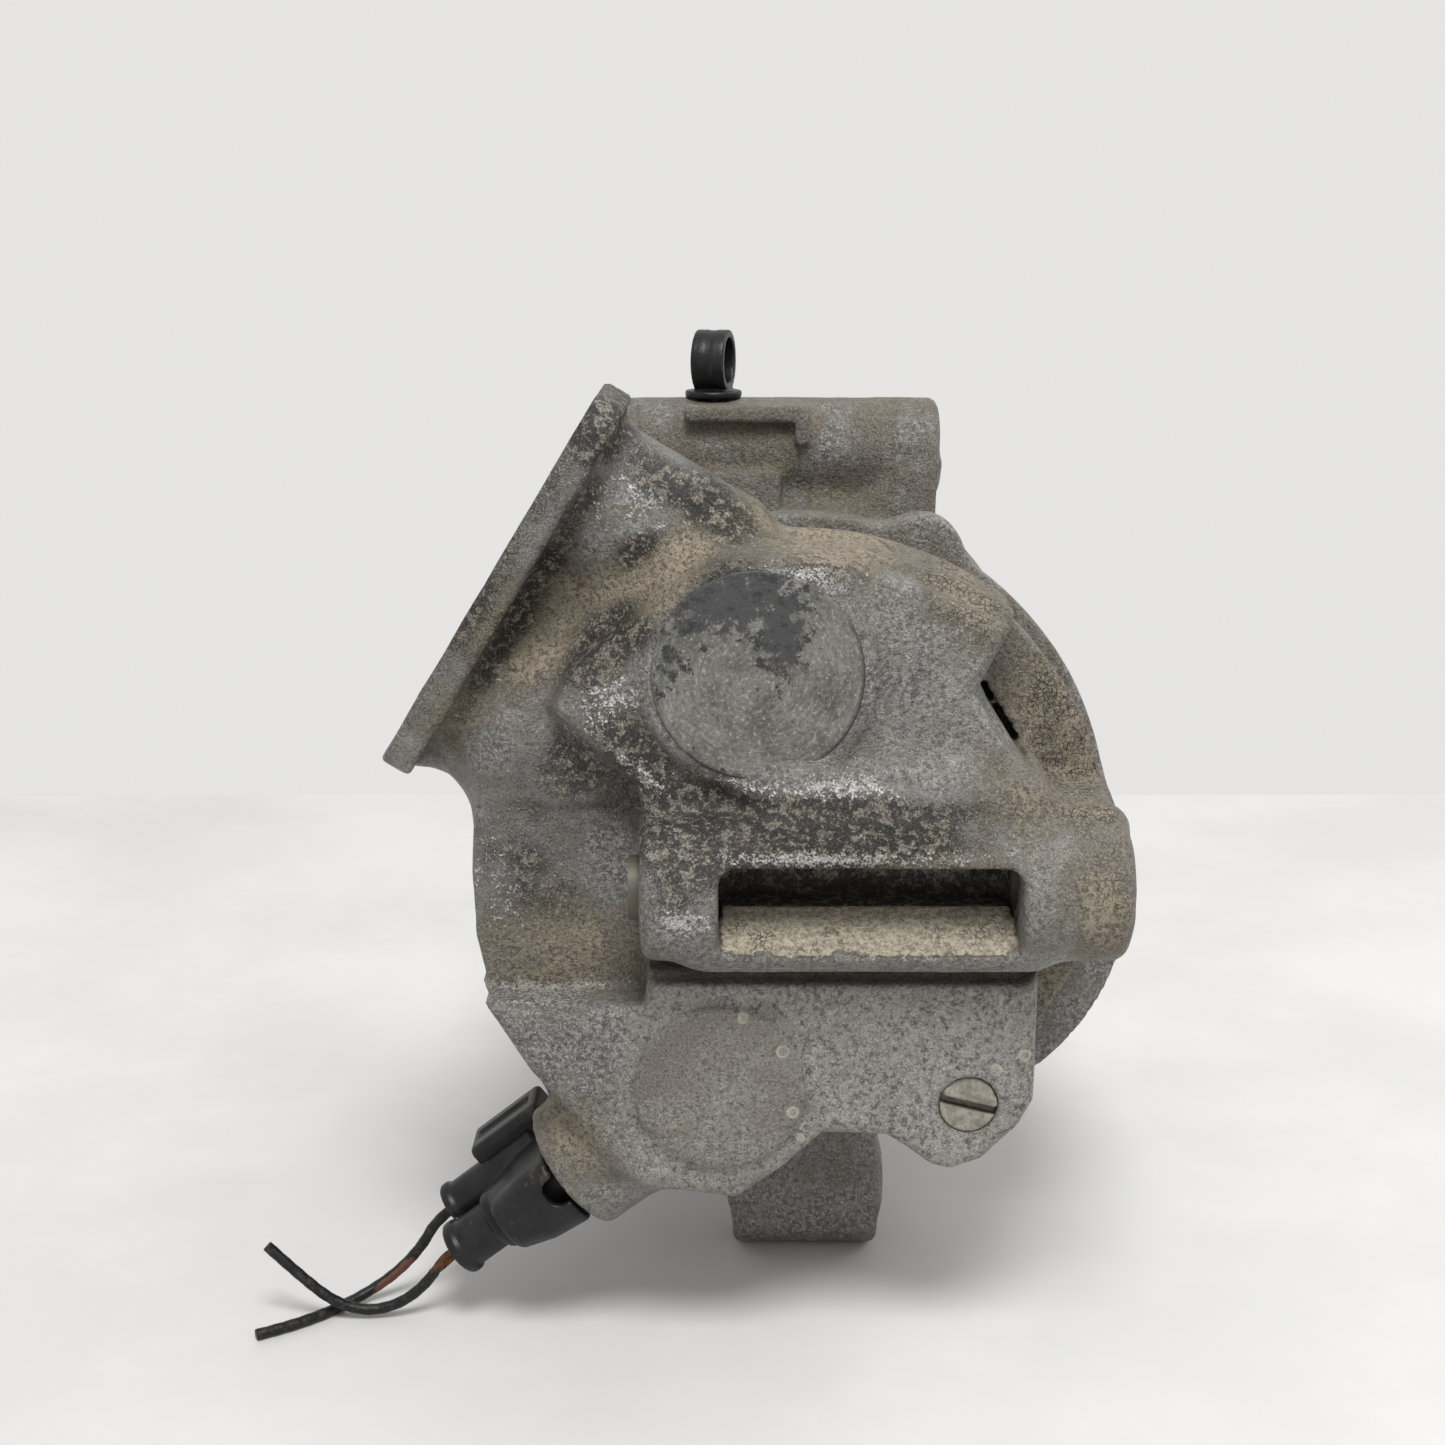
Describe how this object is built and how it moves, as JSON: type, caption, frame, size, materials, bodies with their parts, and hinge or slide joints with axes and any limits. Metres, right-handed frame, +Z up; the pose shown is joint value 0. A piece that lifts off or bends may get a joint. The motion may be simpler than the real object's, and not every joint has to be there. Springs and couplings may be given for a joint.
{
  "type": "automotive air-conditioning compressor",
  "caption": "Clutchless swash-plate air-conditioning compressor: cast body, poly-V pulley, leaning pipe flange, lug tubes, slotted plug and a cut-off electrical plug.",
  "frame": {"origin": "on the shaft axis, in the middle plane of the belt track", "axes": "+Y along the shaft from the rear housing out through the pulley, +X to the right seen from the rear and along the mounting tubes, +Z up in the car"},
  "size_m": [0.1782, 0.2162, 0.1951],
  "materials": {
    "cast_aluminium": "sand-rough die casting, dirty",
    "machined_aluminium": "turned",
    "bright_steel": "ground",
    "zinc_steel": "zinc plated",
    "spring_steel": "blued",
    "black_steel": "black electrocoat",
    "gasket_steel": "rubber-coated sheet",
    "black_plastic": "moulded",
    "black_rubber": "moulded",
    "seal_rubber": "green seal rubber",
    "brass_pins": "tinned",
    "wire_black": "wire insulation",
    "wire_brown": "wire insulation"
  },
  "bodies": {
    "housing": {"rear_housing": "cast_aluminium", "cylinder_block": "cast_aluminium", "front_housing": "cast_aluminium", "oil_plug": "zinc_steel", "suction_reed_plate": "spring_steel", "valve_plate": "bright_steel", "discharge_reed_plate": "spring_steel", "reed_retainer": "gasket_steel", "housing_seal": "seal_rubber", "through_bolts": "zinc_steel", "radial_bearings": "bright_steel", "front_thrust_bearing": "bright_steel", "rear_thrust_washer": "bright_steel", "end_play_adjuster": "bright_steel", "shaft_seal": "seal_rubber", "bearing_inner_race": "bright_steel", "bearing_seals": "black_rubber", "snap_rings": "spring_steel", "control_valve": "bright_steel", "valve_o_rings": "seal_rubber", "valve_circlip": "spring_steel", "valve_socket": "black_plastic", "socket_pins": "brass_pins", "plug_housing": "black_plastic", "plug_lock": "black_plastic", "wire_seals": "black_rubber", "wire_a": "wire_black", "wire_b": "wire_brown", "check_valve_cage": "machined_aluminium", "rear_lug_bushes": "zinc_steel", "cable_clip": "black_plastic"},
    "rotor": {"shaft": "bright_steel", "lug_plate": "black_steel", "hinge_pin": "bright_steel", "swash_plate": "bright_steel", "swash_sleeve": "bright_steel", "tilt_spring": "spring_steel", "return_spring": "spring_steel", "shaft_snap_ring": "spring_steel", "pulley": "black_steel", "bearing_outer_race": "bright_steel", "drive_hub": "zinc_steel", "damper_rubbers": "black_rubber", "drive_pins": "bright_steel", "hub_nut": "zinc_steel"},
    "ball_set": {"bearing_balls": "bright_steel", "bearing_cage": "brass_pins"},
    "front_shoe_set": {"front_shoes": "bright_steel"},
    "plunger": {"valve_plunger": "bright_steel"},
    "check_cup": {"check_valve_cup": "machined_aluminium"},
    "rear_shoe_1_body": {"rear_shoe_1": "bright_steel"},
    "piston_1_body": {"piston_1": "machined_aluminium"},
    "rear_shoe_2_body": {"rear_shoe_2": "bright_steel"},
    "piston_2_body": {"piston_2": "machined_aluminium"},
    "rear_shoe_3_body": {"rear_shoe_3": "bright_steel"},
    "piston_3_body": {"piston_3": "machined_aluminium"},
    "rear_shoe_4_body": {"rear_shoe_4": "bright_steel"},
    "piston_4_body": {"piston_4": "machined_aluminium"},
    "rear_shoe_5_body": {"rear_shoe_5": "bright_steel"},
    "piston_5_body": {"piston_5": "machined_aluminium"}
  },
  "joints": [
    {"name": "shaft_spin", "type": "hinge", "parent": "housing", "child": "rotor", "pos_m": [0, 0, 0], "axis": [0, 1, 0], "continuous": true},
    {"name": "ball_set_spin", "type": "hinge", "parent": "housing", "child": "ball_set", "pos_m": [0, 0, 0], "axis": [0, 1, 0], "continuous": true},
    {"name": "front_shoe_spin", "type": "hinge", "parent": "rotor", "child": "front_shoe_set", "pos_m": [0, -0.078, 0], "axis": [0, 0.9781, 0.2079], "continuous": true},
    {"name": "rear_shoe_1_turn", "type": "hinge", "parent": "front_shoe_set", "child": "rear_shoe_1_body", "pos_m": [0, -0.08424, 0.02934], "axis": [0, 0.9781, 0.2079], "continuous": true},
    {"name": "piston_1_turn", "type": "hinge", "parent": "rear_shoe_1_body", "child": "piston_1_body", "pos_m": [0, -0.08424, 0.02934], "axis": [0, 1, 0], "continuous": true},
    {"name": "rear_shoe_2_turn", "type": "hinge", "parent": "front_shoe_set", "child": "rear_shoe_2_body", "pos_m": [-0.02853, -0.07993, 0.00907], "axis": [0, 0.9781, 0.2079], "continuous": true},
    {"name": "piston_2_turn", "type": "hinge", "parent": "rear_shoe_2_body", "child": "piston_2_body", "pos_m": [-0.02853, -0.07993, 0.00907], "axis": [0, 1, 0], "continuous": true},
    {"name": "rear_shoe_3_turn", "type": "hinge", "parent": "front_shoe_set", "child": "rear_shoe_3_body", "pos_m": [-0.01763, -0.07295, -0.02374], "axis": [0, 0.9781, 0.2079], "continuous": true},
    {"name": "piston_3_turn", "type": "hinge", "parent": "rear_shoe_3_body", "child": "piston_3_body", "pos_m": [-0.01763, -0.07295, -0.02374], "axis": [0, 1, 0], "continuous": true},
    {"name": "rear_shoe_4_turn", "type": "hinge", "parent": "front_shoe_set", "child": "rear_shoe_4_body", "pos_m": [0.01763, -0.07295, -0.02374], "axis": [0, 0.9781, 0.2079], "continuous": true},
    {"name": "piston_4_turn", "type": "hinge", "parent": "rear_shoe_4_body", "child": "piston_4_body", "pos_m": [0.01763, -0.07295, -0.02374], "axis": [0, 1, 0], "continuous": true},
    {"name": "rear_shoe_5_turn", "type": "hinge", "parent": "front_shoe_set", "child": "rear_shoe_5_body", "pos_m": [0.02853, -0.07993, 0.00907], "axis": [0, 0.9781, 0.2079], "continuous": true},
    {"name": "piston_5_turn", "type": "hinge", "parent": "rear_shoe_5_body", "child": "piston_5_body", "pos_m": [0.02853, -0.07993, 0.00907], "axis": [0, 1, 0], "continuous": true},
    {"name": "plunger_slide", "type": "slide", "parent": "housing", "child": "plunger", "axis": [-0.788, 0, -0.6157], "range_m": [0, 0.0025], "stiffness_N_per_m": 400},
    {"name": "check_valve_lift", "type": "slide", "parent": "housing", "child": "check_cup", "axis": [-0.8536, 0, 0.521], "range_m": [0, 0.005], "stiffness_N_per_m": 150}
  ],
  "couplings": [
    {"joint": "ball_set_spin", "follows": "shaft_spin", "ratio": 0.5711},
    {"joint": "front_shoe_spin", "follows": "shaft_spin", "ratio": -1},
    {"joint": "rear_shoe_1_turn", "follows": "shaft_spin", "ratio": 1},
    {"joint": "piston_1_turn", "follows": "shaft_spin", "ratio": -1},
    {"joint": "rear_shoe_2_turn", "follows": "shaft_spin", "ratio": 1},
    {"joint": "piston_2_turn", "follows": "shaft_spin", "ratio": -1},
    {"joint": "rear_shoe_3_turn", "follows": "shaft_spin", "ratio": 1},
    {"joint": "piston_3_turn", "follows": "shaft_spin", "ratio": -1},
    {"joint": "rear_shoe_4_turn", "follows": "shaft_spin", "ratio": 1},
    {"joint": "piston_4_turn", "follows": "shaft_spin", "ratio": -1},
    {"joint": "rear_shoe_5_turn", "follows": "shaft_spin", "ratio": 1},
    {"joint": "piston_5_turn", "follows": "shaft_spin", "ratio": -1}
  ]
}
